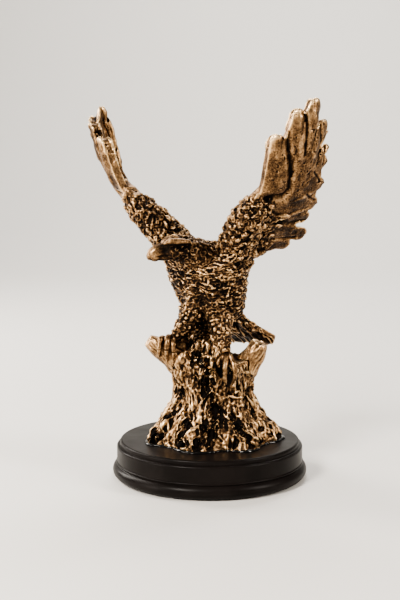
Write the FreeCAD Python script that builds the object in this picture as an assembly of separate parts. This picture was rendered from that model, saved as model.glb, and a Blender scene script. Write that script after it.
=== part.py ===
"""Eagle statuette: a bird landing on a tree stump with both wings raised, on a round black plinth.

The figure is cast in bronze in separate sections that are dowelled together. The hollow stump is
screwed down from under the plinth. Units are millimetres. The origin is the centre of the felt
pad's underside, +Z is up, and -Y is the front. The bird itself is laid out in its own frame, which
faces -Y with its left wing towards +X, and is then turned about Z by BIRD_TURN.
"""

import FreeCAD
import Part
import math
import os

from FreeCAD import Rotation, Vector

# ---- driving dimensions -------------------------------------------------------------------------
FELT_RADIUS, FELT_THICK = 60.0, 1.0
PLINTH_TOP = 25.0  # height of the seat that the stump stands on
SEAT_RADIUS, BAND_RADIUS, BEAD_RADIUS = 60.0, 62.2, 65.0

STUMP_CENTRE = (2.0, 0.0)
STUMP_WALL = 5.0
STUMP_TOP = 80.0
WAIST_RADIUS = 24.2
CAVITY_TOP = 62.0
BEDDING_WIDTH, BEDDING_HEIGHT = 1.8, 1.2

SCREW_COUNT, SCREW_CIRCLE = 3, 24.0
SCREW_RADIUS, SCREW_HEAD_RADIUS, SCREW_HEAD_HEIGHT = 2.0, 3.7, 3.0
SCREW_CLEARANCE_RADIUS = 2.25
WASHER_RADIUS, WASHER_THICK = 4.6, 0.8
COUNTERBORE_RADIUS, COUNTERBORE_TOP = 5.4, 9.0
SCREW_TOP, BOSS_TOP, BOSS_RADIUS = 38.0, 43.0, 7.5

DOWEL_RADIUS = 2.0
DOWEL_RADIUS_SMALL = 1.5

BIRD_TURN = -32.0  # degrees about Z, from the bird's own frame to the part's frame
WING_TURN = 53.8  # degrees about Z, from the bird's frame to the left wing's chord
RIGHT_WING_ROLL = 1.4  # degrees that the right wing leans out further than the left one

PARTS_FOLDER = "parts"

# Stump outline at each height: mean radius, how deep the roots stand out, and the centre's shift.
STUMP_SECTIONS = (
    (25.0, 40.5, 3.4, (0.5, 0.0)),
    (30.0, 39.0, 3.2, (0.5, 0.0)),
    (36.0, 35.6, 2.8, (0.4, 0.0)),
    (42.0, 31.2, 2.2, (0.2, 0.0)),
    (48.0, 27.4, 1.7, (0.0, 0.0)),
    (55.0, 24.8, 1.3, (0.0, -0.8)),
    (64.0, WAIST_RADIUS, 1.3, (0.0, -2.0)),
    (73.0, 25.6, 1.5, (0.0, -3.0)),
    (STUMP_TOP, 25.2, 1.6, (0.0, -3.5)),
)
ROOT_COUNT = 7
# The rotten core that stands up behind the bird's legs: centre and radius.
CORE_SECTIONS = (
    ((-3.0, 3.0, 68.0), 18.0),
    ((-4.0, 4.0, 80.0), 16.5),
    ((-5.0, 4.0, 88.0), 13.0),
    ((-5.5, 4.0, 94.0), 9.0),
    ((-6.0, 4.0, 98.0), 4.0),
)

# Torso sections in the bird's frame: height, forward shift, half width, half depth.
TORSO_SECTIONS = (
    (101.5, -6.0, 7.0, 7.0),
    (105.0, -6.0, 14.5, 12.5),
    (110.0, -5.0, 20.5, 16.5),
    (116.0, -3.0, 22.8, 18.4),
    (125.0, 0.0, 26.0, 20.4),
    (135.0, 2.5, 28.6, 21.4),
    (144.0, 3.0, 29.4, 20.0),
    (151.0, 1.0, 24.0, 17.0),
    (155.0, -2.0, 14.0, 11.0),
    (157.0, -3.0, 5.0, 4.5),
)

# Neck and skull sections in the bird's frame: centre, half width, half height.
NECK_SECTIONS = (
    ((2.0, -6.0, 142.0), 16.0, 13.0),
    ((0.8, -14.5, 147.5), 13.5, 11.5),
    ((-1.0, -22.5, 152.0), 10.6, 9.4),
    ((-3.8, -28.2, 154.2), 8.8, 8.2),
    ((-6.8, -32.2, 155.0), 8.4, 7.8),
    ((-9.8, -35.6, 154.8), 7.4, 7.0),
    ((-12.0, -38.0, 154.4), 5.0, 5.2),
)
BEAK_SECTIONS = (
    ((-10.4, -36.2, 153.6), 3.8, 4.6),
    ((-13.4, -39.4, 153.4), 3.7, 4.4),
    ((-15.8, -42.0, 152.4), 3.2, 4.1),
    ((-17.4, -43.8, 150.2), 2.4, 3.1),
    ((-17.8, -44.2, 147.6), 1.1, 1.5),
)

# Thigh and shank sections: centre, half width, half depth.
LEFT_LEG_SECTIONS = (
    ((6.0, -8.0, 112.0), 9.0, 10.0),
    ((6.6, -12.5, 105.0), 8.0, 9.0),
    ((8.0, -18.0, 98.0), 5.6, 6.4),
    ((9.4, -22.8, 92.0), 4.2, 4.6),
    ((10.4, -26.0, 87.0), 3.5, 3.8),
)
RIGHT_LEG_SECTIONS = (
    ((-11.0, -7.0, 112.0), 9.0, 10.0),
    ((-14.6, -8.5, 105.0), 7.4, 8.4),
    ((-18.8, -8.2, 99.0), 5.6, 6.2),
    ((-22.4, -7.0, 94.5), 4.4, 4.6),
    ((-25.0, -6.0, 90.5), 3.6, 3.8),
)
LEFT_FOOT_CENTRE = (10.8, -27.0, 82.0)
RIGHT_FOOT_CENTRE = (-27.0, -5.6, 90.5)
ANKLE_RADIUS = 3.8

# Wing surface in the wing's own frame: how far it leans out at each height.
WING_LEAN = (
    (140.0, 9.0),
    (148.0, 17.0),
    (161.5, 30.0),
    (178.0, 46.0),
    (195.0, 58.0),
    (215.0, 65.0),
    (232.0, 69.0),
    (249.0, 71.0),
)
# Camber at the tip: how far the sheet is pushed inwards at each chord position.
WING_CAMBER = ((-12.0, 3.0), (14.0, 1.0), (28.0, -3.5), (40.0, -1.0), (64.0, 9.0))
CAMBER_START, CAMBER_FULL = 162.0, 208.0  # heights between which the camber comes in
ARM_INSET = 2.4  # how far the arm stands inwards of the sheet
WING_THICK_ROOT, WING_THICK_TIP = 7.0, 4.2
# Feathers round the wing's edge, from the leading primary to the innermost tertial:
# tip (chord, height) and half width.
WING_FEATHERS = (
    ((16.2, 221.4), 4.2),
    ((27.4, 236.6), 4.6),
    ((38.0, 242.2), 5.0),
    ((46.4, 231.0), 4.4),
    ((49.4, 210.8), 4.2),
    ((49.4, 196.4), 4.2),
    ((48.2, 184.0), 4.2),
    ((45.8, 174.8), 4.0),
    ((48.6, 163.4), 4.4),
    ((40.6, 156.4), 4.0),
)
HAND_LINE = ((13.0, 188.0), (14.0, 162.0))  # feather roots run from the wrist to the elbow
# The part of the wing inside the feathers' tips, where they overlap without gaps.
PALM_POINTS = (
    (11, 150), (3, 165), (3, 178), (10, 188), (14, 197), (16, 208), (25, 226), (35, 235),
    (44, 228), (50, 213), (50.6, 199), (49, 187), (46.5, 177), (41, 172), (45.5, 166),
    (43, 158), (35, 153), (27, 150),
)
ARM_SECTIONS = (
    ((12.0, 138.0), 11.0, 8.5),
    ((11.2, 148.0), 12.5, 10.2),
    ((9.6, 160.0), 11.6, 10.2),
    ((9.4, 172.0), 10.6, 9.6),
    ((10.4, 180.0), 8.8, 8.2),
    ((13.2, 188.0), 6.4, 5.6),
    ((16.4, 196.0), 4.0, 3.4),
)

TAIL_REACH, TAIL_ROOT_HALF, TAIL_TIP_HALF = 42.0, 9.0, 22.5
TAIL_THICK, TAIL_DROP, TAIL_FEATHERS, TAIL_FEATHER_HALF = 4.6, 34.0, 7, 5.0
TAIL_ROOT = (0.0, 11.0, 109.0)

PERCH_SECTIONS = (
    ((-10.0, -4.5, 69.0), 9.5),
    ((-20.0, -4.5, 77.0), 8.4),
    ((-30.0, -5.2, 84.8), 7.0),
    ((-36.0, -5.8, 89.2), 5.8),
    ((-40.6, -6.0, 92.0), 3.6),
)
SNAG_SECTIONS = (
    ((12.0, -3.0, 56.0), 9.0),
    ((19.5, -4.0, 66.0), 8.6),
    ((26.0, -5.0, 77.0), 7.6),
    ((30.0, -5.6, 84.0), 6.4),
    ((33.0, -6.0, 90.5), 4.9),
)


# ---- helpers ------------------------------------------------------------------------------------
def smooth_edge(points, closed=False):
    """One interpolated edge through points."""
    curve = Part.BSplineCurve()
    curve.interpolate(Points=[Vector(*p) for p in points], PeriodicFlag=closed)
    return curve.toShape()


def ellipse_wire(centre, along, wide, half_width, half_height):
    """An ellipse across the direction along, its width towards wide, written as a closed spline."""
    along = Vector(along).normalize()
    wide = Vector(*wide)
    across = (wide - along * wide.dot(along)).normalize()
    up = along.cross(across)
    steps = 12
    points = []
    for i in range(steps):
        angle = 2 * math.pi * i / steps
        offset = across * (half_width * math.cos(angle)) + up * (half_height * math.sin(angle))
        points.append(Vector(*centre) + offset)
    return Part.Wire([smooth_edge(points, closed=True)])


def tube(sections, wide=(1, 0, 0)):
    """A solid through (centre, half width, half height) sections, each square to the path."""
    centres = [Vector(*s[0]) for s in sections]
    wires = []
    for i, (centre, half_width, half_height) in enumerate(sections):
        before, after = centres[max(i - 1, 0)], centres[min(i + 1, len(centres) - 1)]
        wires.append(ellipse_wire(centre, after - before, wide, half_width, half_height))
    return Part.makeLoft(wires, True)


def round_tube(sections, wide=(1, 0, 0)):
    """A tube whose sections are circles: (centre, radius)."""
    return tube([(centre, radius, radius) for centre, radius in sections], wide)


def level_loft(sections):
    """A solid through level ellipses: (height, forward shift, half width, half depth)."""
    wires = []
    for height, forward, half_width, half_depth in sections:
        centre = (0, -forward, height)
        wires.append(ellipse_wire(centre, (0, 0, 1), (1, 0, 0), half_width, half_depth))
    return Part.makeLoft(wires, True)


def cylinder_between(start, end, radius):
    start, end = Vector(*start), Vector(*end)
    return Part.makeCylinder(radius, (end - start).Length, start, end - start)


def turned(shape, degrees):
    """A copy of shape turned about the part's Z axis."""
    copy = shape.copy()
    copy.rotate(Vector(0, 0, 0), Vector(0, 0, 1), degrees)
    return copy


def mirrored(shape):
    """The other side's copy of a shape in the bird's frame."""
    return shape.mirror(Vector(0, 0, 0), Vector(1, 0, 0))


def largest_solid(shape):
    """A cut can leave slivers beside the piece itself, so only the piece is kept."""
    return max(shape.Solids, key=lambda s: s.Volume)


def fused(shapes):
    whole = shapes[0]
    for shape in shapes[1:]:
        whole = whole.fuse(shape)
    return largest_solid(whole)


def cut(shape, *tools):
    for tool in tools:
        shape = shape.cut(tool)
    return largest_solid(shape)


# ---- plinth and what fastens to it --------------------------------------------------------------
def plinth_profile():
    """Half section of the plinth from its underside out over the bead and the band to the seat."""
    bead_low, bead_high = FELT_THICK + 0.6, 9.2
    bead_middle = (bead_low + bead_high) / 2
    band_low, band_high = 11.2, 20.6
    edge_round = 1.5

    def p(radius, height):
        return Vector(radius, 0, height)

    def arc(a, b, c):
        return Part.Arc(a, b, c).toShape()

    def line(a, b):
        return Part.LineSegment(a, b).toShape()

    foot = p(BEAD_RADIUS - 2.6, FELT_THICK)
    bead_start = p(BEAD_RADIUS - 1.6, bead_low)
    bead_end = p(BAND_RADIUS + 0.3, bead_high)
    quirk = p(BAND_RADIUS - 0.2, bead_high + 0.5)
    fillet_end = p(BAND_RADIUS, band_low)
    band_end = p(BAND_RADIUS, band_high)
    ledge = p(SEAT_RADIUS + 0.5, band_high + 1.2)
    lip_low = p(SEAT_RADIUS, band_high + 1.4)
    lip_high = p(SEAT_RADIUS, PLINTH_TOP - edge_round)
    lip_middle = p(SEAT_RADIUS - edge_round * 0.29, PLINTH_TOP - edge_round * 0.29)
    seat = p(SEAT_RADIUS - edge_round, PLINTH_TOP)
    edges = [
        line(p(0, FELT_THICK), foot),
        line(foot, bead_start),
        arc(bead_start, p(BEAD_RADIUS, bead_middle), bead_end),
        line(bead_end, quirk),
        arc(quirk, p(BAND_RADIUS + 0.6, bead_high + 1.3), fillet_end),
        line(fillet_end, band_end),
        arc(band_end, p(BAND_RADIUS - 0.4, band_high + 0.8), ledge),
        line(ledge, lip_low),
        line(lip_low, lip_high),
        arc(lip_high, lip_middle, seat),
        line(seat, p(0, PLINTH_TOP)),
        line(p(0, PLINTH_TOP), p(0, FELT_THICK)),
    ]
    return Part.Face(Part.Wire(edges))


def screw_places():
    """Centres of the fixing screws, spread about the stump's axis."""
    places = []
    for i in range(SCREW_COUNT):
        angle = math.radians(90 + 360 * i / SCREW_COUNT)
        x = STUMP_CENTRE[0] + SCREW_CIRCLE * math.cos(angle)
        y = STUMP_CENTRE[1] + SCREW_CIRCLE * math.sin(angle)
        places.append((x, y))
    return places


def plinth():
    body = plinth_profile().revolve(Vector(0, 0, 0), Vector(0, 0, 1), 360)
    for x, y in screw_places():
        pocket = cylinder_between((x, y, 0), (x, y, COUNTERBORE_TOP), COUNTERBORE_RADIUS)
        hole = cylinder_between((x, y, 0), (x, y, PLINTH_TOP + 1), SCREW_CLEARANCE_RADIUS)
        body = body.cut(pocket).cut(hole)
    return largest_solid(body)


def felt_pad():
    return Part.makeCylinder(FELT_RADIUS, FELT_THICK)


def screw(x, y):
    """A pan-head screw with a hexagon socket, its head in the counterbore."""
    head_top = COUNTERBORE_TOP - WASHER_THICK
    head_low = head_top - SCREW_HEAD_HEIGHT
    head = cylinder_between((x, y, head_low), (x, y, head_top), SCREW_HEAD_RADIUS)
    head = head.makeFillet(0.7, [e for e in head.Edges if abs(e.CenterOfMass.z - head_low) < 0.01])
    shank = cylinder_between((x, y, head_top), (x, y, SCREW_TOP), SCREW_RADIUS)
    socket_half = 1.45
    corners = [
        Vector(
            x + socket_half * math.cos(math.radians(60 * i)),
            y + socket_half * math.sin(math.radians(60 * i)),
            head_low,
        )
        for i in range(7)
    ]
    socket = Part.Face(Part.makePolygon(corners)).extrude(Vector(0, 0, 1.6))
    return largest_solid(head.fuse(shank).removeSplitter().cut(socket))


def screws():
    return Part.makeCompound([screw(x, y) for x, y in screw_places()])


def washers():
    rings = []
    low = COUNTERBORE_TOP - WASHER_THICK
    for x, y in screw_places():
        disc = cylinder_between((x, y, low), (x, y, COUNTERBORE_TOP), WASHER_RADIUS)
        hole = cylinder_between((x, y, low), (x, y, COUNTERBORE_TOP), SCREW_CLEARANCE_RADIUS)
        rings.append(largest_solid(disc.cut(hole)))
    return Part.makeCompound(rings)


# ---- stump --------------------------------------------------------------------------------------
def stump_wire(section, inset=0.0, root_share=1.0, spread=0.0):
    """The stump's outline at one height. Roots stand out as lobes, which inset and spread move."""
    height, radius, root_depth, shift = section
    steps = 4 * ROOT_COUNT
    points = []
    for i in range(steps):
        angle = 2 * math.pi * i / steps
        lobe = math.cos(ROOT_COUNT * angle + 0.6) + 0.5 * math.cos(2 * angle - 0.5)
        r = radius - inset + spread + root_depth * root_share * lobe
        x = STUMP_CENTRE[0] + shift[0] + r * math.cos(angle)
        y = STUMP_CENTRE[1] + shift[1] + r * math.sin(angle)
        points.append(Vector(x, y, height))
    return Part.Wire([smooth_edge(points, closed=True)])


def stump_outside():
    trunk = Part.makeLoft([stump_wire(s) for s in STUMP_SECTIONS], True)
    return fused([trunk, round_tube(CORE_SECTIONS)])


def stump_cavity():
    """The hollow that the casting core leaves, open at the bottom."""
    wires = [
        stump_wire(s, inset=STUMP_WALL, root_share=0.3)
        for s in STUMP_SECTIONS
        if s[0] < CAVITY_TOP
    ]
    top = (CAVITY_TOP, WAIST_RADIUS - 8.0, 0.4, (0.0, -1.0))
    wires.append(stump_wire(top, inset=STUMP_WALL, root_share=0.3))
    return Part.makeLoft(wires, True)


def screw_bosses():
    """Columns inside the casting that the screws thread into."""
    return [
        cylinder_between((x, y, PLINTH_TOP), (x, y, BOSS_TOP), BOSS_RADIUS)
        for x, y in screw_places()
    ]


def screw_bores():
    return [
        cylinder_between((x, y, PLINTH_TOP), (x, y, SCREW_TOP), SCREW_RADIUS)
        for x, y in screw_places()
    ]


def tree_stump(outside):
    cavity = stump_cavity()
    for boss in screw_bosses():
        cavity = cavity.cut(boss)
    return cut(outside.cut(cavity), *screw_bores())


def bedding_bead():
    """A thin bead of black compound squeezed out all round the stump's foot."""
    foot_section = STUMP_SECTIONS[0]
    around = Part.Face(stump_wire(foot_section, spread=BEDDING_WIDTH))
    around = around.extrude(Vector(0, 0, BEDDING_HEIGHT))
    top = PLINTH_TOP + BEDDING_HEIGHT
    around = around.makeFillet(0.8, [e for e in around.Edges if abs(e.CenterOfMass.z - top) < 0.01])
    foot_face = Part.Face(stump_wire(foot_section))
    return cut(around, foot_face.extrude(Vector(0, 0, 2 * BEDDING_HEIGHT)))


# ---- bird ---------------------------------------------------------------------------------------
def neck_and_head():
    return fused([tube(NECK_SECTIONS), tube(BEAK_SECTIONS)])


def strip_wire(chord, camber):
    """The wing sheet's cross-section at one chord position."""
    low_height, high_height = WING_LEAN[0][0], WING_LEAN[-1][0]
    back, front = [], []
    for height, lean in WING_LEAN:
        share = (height - low_height) / (high_height - low_height)
        half = WING_THICK_ROOT / 2 + (WING_THICK_TIP - WING_THICK_ROOT) / 2 * share**0.6
        ramp = (height - CAMBER_START) / (CAMBER_FULL - CAMBER_START)
        middle = -lean + camber * max(0.0, min(1.0, ramp))
        back.append(Vector(chord, middle + half, height))
        front.append(Vector(chord, middle - half, height))
    edges = [
        smooth_edge(back),
        Part.LineSegment(back[-1], front[-1]).toShape(),
        smooth_edge(front),
        Part.LineSegment(front[0], back[0]).toShape(),
    ]
    return Part.Wire(Part.__sortEdges__(edges))


def wing_slab():
    """The curved sheet that the wing is cut from: leaning outwards and hollow on its inner side."""
    return Part.makeLoft([strip_wire(chord, camber) for chord, camber in WING_CAMBER], True)


def feather_outline(root, tip, half_width):
    """A flat feather seen along Y: narrow at its root, widest before its round tip."""
    root, tip = Vector(root[0], 0, root[1]), Vector(tip[0], 0, tip[1])
    along = (tip - root).normalize()
    side = along.cross(Vector(0, 1, 0))
    root_half = half_width * 0.7
    left_root, right_root = root + side * root_half, root - side * root_half
    left, right = tip + side * half_width, tip - side * half_width
    edges = [
        Part.LineSegment(left_root, left).toShape(),
        Part.Arc(left, tip + along * half_width, right).toShape(),
        Part.LineSegment(right, right_root).toShape(),
        Part.LineSegment(right_root, left_root).toShape(),
    ]
    return Part.Face(Part.Wire(edges))


def wing_outline():
    """The whole wing's flat outline: the feathers' fan over a palm, as a prism along Y."""
    (wrist_x, wrist_z), (elbow_x, elbow_z) = HAND_LINE
    count = len(WING_FEATHERS)
    prisms = []
    for i, (tip, half_width) in enumerate(WING_FEATHERS):
        share = i / (count - 1)
        root = (wrist_x + (elbow_x - wrist_x) * share, wrist_z + (elbow_z - wrist_z) * share)
        prisms.append(feather_outline(root, tip, half_width).extrude(Vector(0, -100, 0)))
    palm = Part.Face(Part.makePolygon([Vector(x, 0, z) for x, z in PALM_POINTS + PALM_POINTS[:1]]))
    prisms.append(palm.extrude(Vector(0, -100, 0)))
    return fused(prisms)


def lean_at(height):
    """How far the wing's sheet stands out at a height, between the points of WING_LEAN."""
    height = max(height, WING_LEAN[0][0])
    for (z0, y0), (z1, y1) in zip(WING_LEAN, WING_LEAN[1:]):
        if z0 <= height <= z1:
            return y0 + (y1 - y0) * (height - z0) / (z1 - z0)
    return WING_LEAN[-1][1]


def left_wing_blank():
    """The left wing in the bird's frame, before it is fitted to the torso."""
    blade = wing_slab().common(wing_outline())
    arm_sections = []
    for (chord, height), half_chord, half_thick in ARM_SECTIONS:
        centre = (chord, -lean_at(height) + ARM_INSET, height)
        arm_sections.append((centre, half_chord, half_thick))
    arm = tube(arm_sections)
    return turned(fused([largest_solid(blade), arm]), WING_TURN)


def tail():
    """A fan of feathers that slopes down behind the bird."""
    slab_low = -TAIL_THICK / 2
    fan = []
    for i in range(TAIL_FEATHERS):
        share = 2 * i / (TAIL_FEATHERS - 1) - 1
        root = (share * TAIL_ROOT_HALF * 0.6, 0.0)
        tip = (share * TAIL_TIP_HALF, TAIL_REACH - 3.0 * abs(share) - TAIL_FEATHER_HALF)
        feather = feather_outline(root, tip, TAIL_FEATHER_HALF)
        fan.append(feather.extrude(Vector(0, -TAIL_THICK, 0)))
    flat = fused(fan)
    # the outlines stand upright in X and Z, so they are laid back to point along +Y
    flat.rotate(Vector(0, 0, 0), Vector(1, 0, 0), -90)
    flat.translate(Vector(0, 0, slab_low))
    root_block = tube(
        (
            ((0, -8, 0), TAIL_ROOT_HALF, 6.5),
            ((0, 2, 0), TAIL_ROOT_HALF, 6.0),
            ((0, 14, 0), TAIL_ROOT_HALF * 1.05, 4.2),
            ((0, 24, 0), TAIL_ROOT_HALF * 1.1, 2.6),
        )
    )
    whole = fused([flat, root_block])
    whole.rotate(Vector(0, 0, 0), Vector(1, 0, 0), -TAIL_DROP)
    whole.translate(Vector(*TAIL_ROOT))
    return whole


def foot(centre, toes):
    """An ankle with its toes. Each toe is a list of (offset from the ankle, radius)."""
    x, y, z = centre
    ankle = round_tube(
        (
            ((x - 0.6, y + 0.6, z + 6.0), ANKLE_RADIUS),
            ((x, y, z + 2.0), ANKLE_RADIUS * 1.1),
            ((x + 0.3, y - 0.3, z - 2.5), ANKLE_RADIUS),
        )
    )
    pieces = [ankle]
    for toe in toes:
        path = [((x + dx, y + dy, z + dz), radius) for (dx, dy, dz), radius in toe]
        pieces.append(round_tube(path))
    return fused(pieces)


def hanging_toe(spread, reach, drop):
    """A long front toe that comes over the stump's rim and hangs down its side."""
    return (
        ((0.0, 0.0, 0.0), 2.6),
        ((spread * 0.5, -reach * 0.5, 0.6), 3.0),
        ((spread, -reach * 0.92, -drop * 0.2), 2.8),
        ((spread * 1.15, -reach * 1.05, -drop * 0.5), 2.4),
        ((spread * 1.15, -reach * 1.0, -drop * 0.78), 1.8),
        ((spread * 1.1, -reach * 0.84, -drop), 0.8),
    )


def gripping_toe(spread, reach, drop):
    """A front toe that curls round the perch branch."""
    return (
        ((0.0, 0.0, 0.0), 2.6),
        ((spread * 0.5, -reach * 0.5, 0.8), 3.0),
        ((spread, -reach * 0.9, -drop * 0.2), 2.8),
        ((spread * 1.2, -reach * 1.08, -drop * 0.6), 2.2),
        ((spread * 1.2, -reach * 0.98, -drop), 0.9),
    )


def hind_toe():
    return (
        ((0.0, 0.0, 0.0), 2.6),
        ((0.5, 4.5, 0.0), 2.5),
        ((0.8, 8.0, -2.4), 1.9),
        ((0.9, 10.0, -5.0), 0.8),
    )


# ---- assembly -----------------------------------------------------------------------------------
def dowel(places, radius=DOWEL_RADIUS):
    """Dowels between pairs of points in the bird's frame, in the part's frame."""
    return [turned(cylinder_between(a, b, radius), BIRD_TURN) for a, b in places]


def group(solids):
    return solids[0] if len(solids) == 1 else Part.makeCompound(solids)


def build():
    """All nodes by name, each in its place."""
    outside = stump_outside()
    torso = turned(level_loft(TORSO_SECTIONS), BIRD_TURN)
    head = turned(neck_and_head(), BIRD_TURN)
    left_blank = left_wing_blank()
    left_wing = turned(left_blank, BIRD_TURN)
    right_blank = mirrored(left_blank)
    right_blank.rotate(Vector(-20, 0, 148), Vector(0, 1, 0), -RIGHT_WING_ROLL)
    right_wing = turned(right_blank, BIRD_TURN)
    tail_fan = turned(tail(), BIRD_TURN)
    left_leg = tube(LEFT_LEG_SECTIONS)
    right_leg = tube(RIGHT_LEG_SECTIONS)
    left_toes = [hanging_toe(-4.6, 7.0, 14.0), hanging_toe(-0.8, 7.6, 15.0), hanging_toe(3.6, 7.0, 18.0)]
    right_toes = [gripping_toe(spread, 9.0, 12.0) for spread in (-6.0, -1.5, 3.0)]
    left_foot = foot(LEFT_FOOT_CENTRE, left_toes + [hind_toe()])
    right_foot = foot(RIGHT_FOOT_CENTRE, right_toes + [hind_toe()])
    perch = round_tube(PERCH_SECTIONS, wide=(0, 1, 0))
    snag = round_tube(SNAG_SECTIONS, wide=(0, 1, 0))

    pins = {
        "wing_dowels": dowel(
            [((s * 23.1, 3, 148.3), (s * 30.9, -5, 159.7)) for s in (1, -1)]
            + [((s * 17.1, -5, 148.3), (s * 24.9, -13, 159.7)) for s in (1, -1)]
        ),
        "neck_dowel": dowel([((0.5, -12, 146), (-2.0, -27, 152))]),
        "tail_dowel": dowel([((0, 3, 113), (0, 20, 103.5))]),
        "leg_dowels": [
            cylinder_between((6.0, -7.5, 114.0), (7.2, -15.5, 101.0), DOWEL_RADIUS),
            cylinder_between((-10.0, -6.6, 114.0), (-17.0, -8.4, 101.5), DOWEL_RADIUS),
        ],
        "foot_dowels": [
            cylinder_between((9.6, -23.6, 91.0), (9.2, -19.5, 68.0), DOWEL_RADIUS_SMALL),
            cylinder_between((-24.2, -6.2, 92.5), (-27.5, -5.2, 77.0), DOWEL_RADIUS_SMALL),
        ],
    }
    branch_pins = [
        cylinder_between((-14, -4.5, 72), (-24, -4.8, 79.5), DOWEL_RADIUS),
        cylinder_between((15, -3.4, 60), (25, -4.7, 73), DOWEL_RADIUS),
    ]
    pins["branch_dowels"] = branch_pins
    all_pins = [pin for solids in pins.values() for pin in solids]

    perch = cut(perch, outside)
    snag = cut(snag, outside)
    head = cut(head, torso)
    left_wing = cut(left_wing, torso, head)
    right_wing = cut(right_wing, torso, head)
    tail_fan = cut(tail_fan, torso)
    left_leg = cut(left_leg, torso, tail_fan)
    right_leg = cut(right_leg, torso, tail_fan)
    left_foot = cut(left_foot, left_leg, outside, perch, snag)
    right_foot = cut(right_foot, right_leg, outside, perch, snag)
    left_leg = cut(left_leg, outside)
    right_leg = cut(right_leg, outside, perch)

    nodes = {
        "felt_pad": felt_pad(),
        "plinth": plinth(),
        "plinth_screws": screws(),
        "plinth_washers": washers(),
        "bedding_bead": bedding_bead(),
        "tree_stump": tree_stump(outside),
        "perch_branch": perch,
        "snag_branch": snag,
        "torso": torso,
        "head": head,
        "left_wing": left_wing,
        "right_wing": right_wing,
        "tail": tail_fan,
        "left_leg": left_leg,
        "right_leg": right_leg,
        "left_foot": left_foot,
        "right_foot": right_foot,
    }
    bored = [n for n in nodes if n not in ("felt_pad", "plinth", "plinth_screws", "plinth_washers")]
    for name in bored:
        nodes[name] = cut(nodes[name], *all_pins)
    for name, solids in pins.items():
        nodes[name] = group(solids)
    return nodes


def main():
    os.makedirs(PARTS_FOLDER, exist_ok=True)
    for name, shape in build().items():
        valid = shape.isValid()
        print(f"{name}: {len(shape.Solids)} solid(s), {shape.Volume:.0f} mm3, valid {valid}")
        shape.exportStep(os.path.join(PARTS_FOLDER, name + ".step"))


main()
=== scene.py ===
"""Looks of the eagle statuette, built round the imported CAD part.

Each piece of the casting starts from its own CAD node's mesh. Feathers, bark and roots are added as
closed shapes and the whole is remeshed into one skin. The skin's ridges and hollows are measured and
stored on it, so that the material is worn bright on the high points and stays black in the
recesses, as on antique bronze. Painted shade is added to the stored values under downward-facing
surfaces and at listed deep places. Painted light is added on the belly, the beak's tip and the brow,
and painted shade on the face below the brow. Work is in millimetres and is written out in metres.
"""

import math

import bmesh
import bpy
import numpy as np
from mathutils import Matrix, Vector
from mathutils.bvhtree import BVHTree


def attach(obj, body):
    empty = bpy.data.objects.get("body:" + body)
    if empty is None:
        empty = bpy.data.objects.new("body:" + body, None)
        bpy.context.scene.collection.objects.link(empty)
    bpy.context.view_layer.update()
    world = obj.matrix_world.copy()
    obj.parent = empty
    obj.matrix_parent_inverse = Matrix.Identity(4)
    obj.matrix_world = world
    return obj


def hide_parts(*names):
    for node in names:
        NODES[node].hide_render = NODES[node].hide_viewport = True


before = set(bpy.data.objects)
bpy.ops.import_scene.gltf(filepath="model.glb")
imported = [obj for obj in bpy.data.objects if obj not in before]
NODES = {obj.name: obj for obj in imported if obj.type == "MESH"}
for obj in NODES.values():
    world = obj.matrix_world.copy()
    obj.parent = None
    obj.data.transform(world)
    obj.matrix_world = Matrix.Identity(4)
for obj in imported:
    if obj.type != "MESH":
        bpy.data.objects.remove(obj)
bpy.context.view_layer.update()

# ---- sizes in millimetres ----
COARSE = 1.0
VOXEL_BIRD = 0.42 * COARSE
VOXEL_HEAD = 0.34 * COARSE
VOXEL_FOOT = 0.34 * COARSE
VOXEL_STUMP = 0.46 * COARSE

BIRD_TURN, WING_TURN, RIGHT_WING_ROLL = -32.0, 53.8, 1.4
RIGHT_ROLL_CENTRE = (-20.0, 0.0, 148.0)

# Wing feathers in the wing's own plane: root (chord, height), tip and half width.
WING_FEATHERS = (
    ((12.5, 184.0), (14.5, 227.0), 4.4),
    ((19.0, 183.0), (26.5, 243.0), 5.0),
    ((24.0, 180.0), (38.5, 249.0), 5.4),
    ((27.0, 177.0), (48.5, 238.0), 4.8),
    ((28.0, 174.0), (54.0, 220.0), 4.6),
    ((28.0, 171.0), (55.0, 204.0), 4.4),
    ((27.0, 168.0), (54.0, 190.0), 4.2),
    ((25.0, 165.0), (51.0, 178.0), 4.0),
    ((22.0, 160.0), (54.0, 164.5), 4.4),
    ((18.0, 154.0), (45.0, 156.0), 4.2),
)
WING_SWELL = (1.5, 1.3, 1.3, 1.1, 0.8, 0.7, 0.7, 0.7, 0.9, 0.9)  # how full each wing feather is
# Furrows and swellings of the blade: path in the wing's plane, width, and depth (negative swells).
BLADE_FURROWS = (
    (
        ((20.4, 226.0), (23.2, 212.0), (26.5, 200.0), (27.0, 193.5), (23.5, 189.0), (14.0, 187.5)),
        1.9,
        2.3,
    ),
    (((30.2, 242.0), (32.2, 229.0), (33.1, 214.0)), 1.2, 1.6),
    (((42.6, 238.0), (45.6, 221.0), (45.8, 208.0)), 1.1, 1.4),
    (((51.0, 222.0), (51.0, 208.0)), 0.9, 1.0),
    (((44.0, 203.0), (50.0, 198.0)), 0.9, 0.9),
    (((42.0, 190.0), (49.0, 186.0)), 0.9, 0.9),
    (((28.0, 172.5), (37.0, 170.5), (47.0, 171.5)), 1.6, 1.8),
    (((30.0, 160.0), (40.0, 160.5), (46.0, 161.0)), 1.0, 1.3),
    (((15.0, 224.0), (16.6, 210.0), (19.5, 196.0)), 3.0, -1.3),
    (((25.6, 240.0), (27.6, 226.0), (29.5, 212.0)), 2.2, -1.0),
    (((36.4, 246.0), (38.4, 230.0), (39.5, 214.0)), 2.8, -1.0),
)
# Short feathers that close the gaps between the long ones: tip and half width.
WING_FILLERS = (
    ((51.6, 229.5), 4.0),
    ((54.5, 220.0), 4.2),
    ((55.6, 211.5), 4.0),
    ((55.2, 198.0), 4.0),
    ((53.5, 185.0), 4.0),
)
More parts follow.
